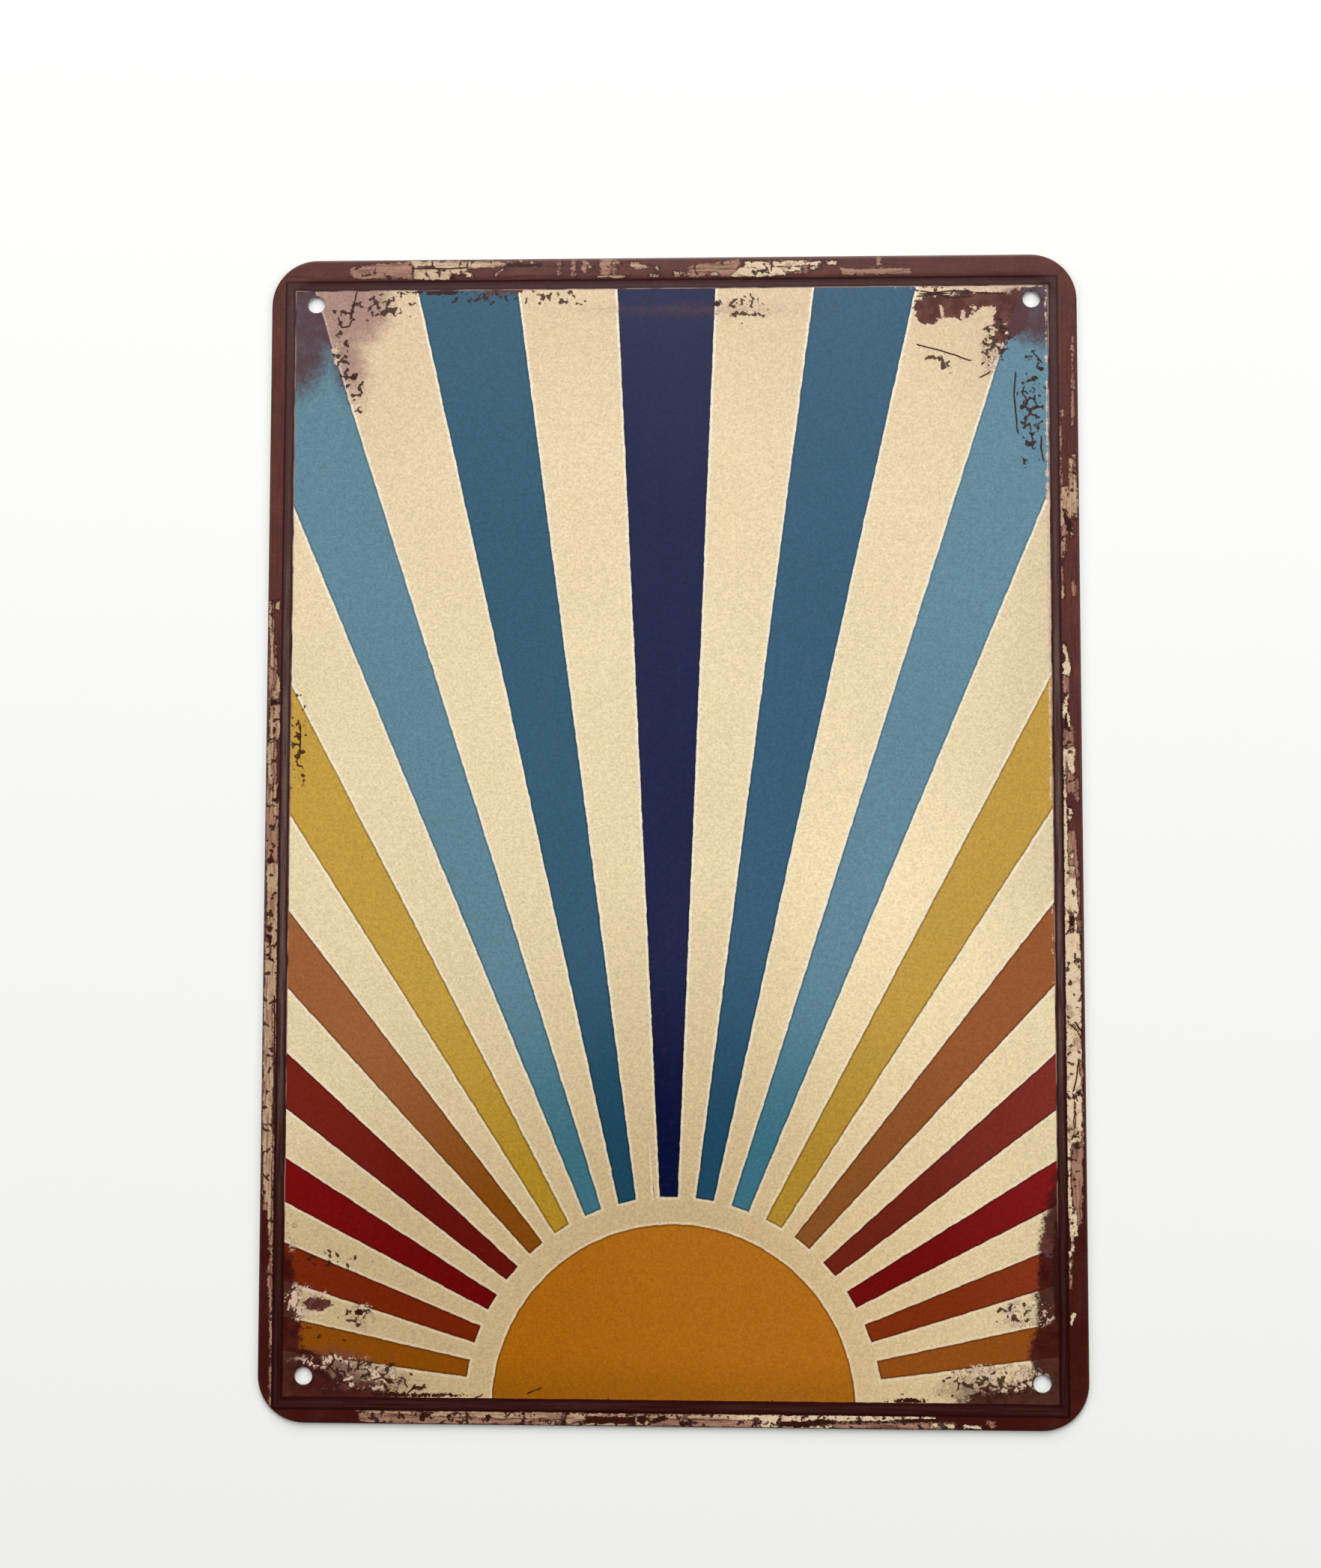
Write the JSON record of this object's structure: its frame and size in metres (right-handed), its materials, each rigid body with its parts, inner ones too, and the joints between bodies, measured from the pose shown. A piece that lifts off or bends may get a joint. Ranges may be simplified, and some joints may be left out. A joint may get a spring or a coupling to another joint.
{
  "type": "wall sign",
  "caption": "Upright sheet-metal wall sign with rounded corners, a hemmed edge, a low raised rim, a screw hole in each corner and a printed half-sun with rays.",
  "frame": {"origin": "middle of the sign's outline, on the surface that its hem lies on", "axes": "+X across the picture to its right, +Y along the sign to the top of the picture, +Z out of the printed face"},
  "size_m": [0.21, 0.3, 0.0011],
  "materials": {
    "printed_tinplate": "satin lithographed print on tinplate: cream ground, half-sun and coloured rays in a dark brown border, worn and chipped to cream along the rim"
  },
  "bodies": {
    "root": {"sign_plate": "printed_tinplate"}
  },
  "joints": []
}
